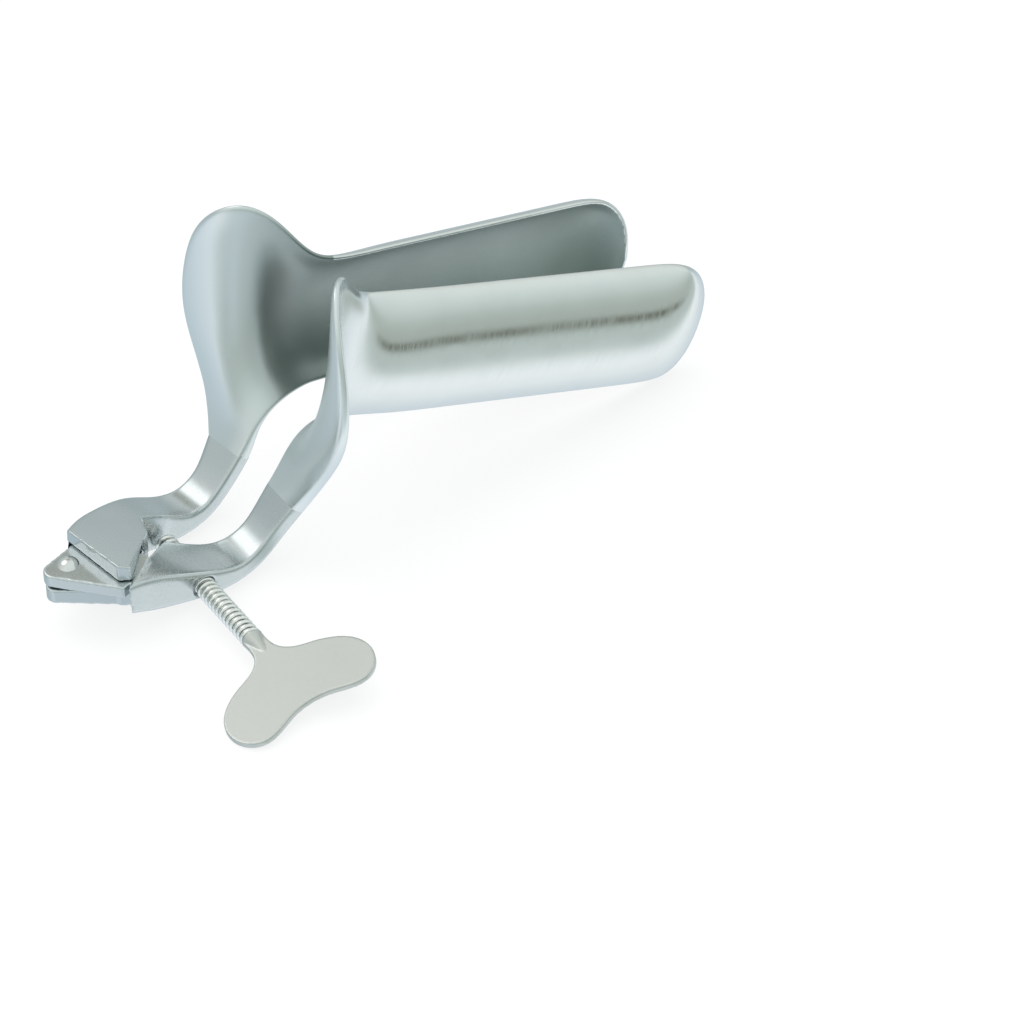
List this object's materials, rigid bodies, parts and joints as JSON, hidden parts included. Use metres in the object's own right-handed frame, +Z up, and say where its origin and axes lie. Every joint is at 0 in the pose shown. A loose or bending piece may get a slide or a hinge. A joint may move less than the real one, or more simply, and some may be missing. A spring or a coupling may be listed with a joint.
{
  "type": "bivalve speculum",
  "caption": "Two spoon-shaped sheet valves on forged arms, riveted at one end into a lap hinge and spread by a threaded spindle with a wing plate.",
  "frame": {"origin": "middle of the bounding box at its lowest level, as the instrument lies on its side arms", "axes": "+X from the hinge towards the blade tips, +Y from the right valve with the wing screw to the left valve, +Z up"},
  "size_m": [0.2008, 0.0992, 0.0887],
  "materials": {
    "satin_sheet": "satin",
    "satin_forging": "satin",
    "polished_rivet": "polished",
    "bright_thread": "polished",
    "satin_wing": "satin"
  },
  "bodies": {
    "right_valve": {"right_blade": "satin_sheet", "right_arm": "satin_forging", "hinge_rivet": "polished_rivet"},
    "left_valve": {"left_blade": "satin_sheet", "left_arm": "satin_forging"},
    "spindle": {"screw_spindle": "bright_thread"},
    "wing": {"wing_plate": "satin_wing"}
  },
  "joints": [
    {"name": "valve_hinge", "type": "hinge", "parent": "right_valve", "child": "left_valve", "pos_m": [-0.09363, 0.01738, 0.01597], "axis": [-0.0941, 0, 0.9956], "range_deg": [-7.58, 20.42]},
    {"name": "screw_feed", "type": "slide", "parent": "right_valve", "child": "spindle", "axis": [0.0831, 0.9965, 0.0079], "range_m": [-0.00418, 0.01125]},
    {"name": "wing_turn", "type": "hinge", "parent": "spindle", "child": "wing", "pos_m": [-0.06347, 0.00089, 0.00637], "axis": [0.0831, 0.9965, 0.0079], "range_deg": [-939.3, 2530.5]}
  ],
  "couplings": [
    {"joint": "screw_feed", "follows": "wing_turn", "m_per_rad": 0.00025465},
    {"joint": "valve_hinge", "follows": "wing_turn", "ratio": 0.0080695}
  ]
}
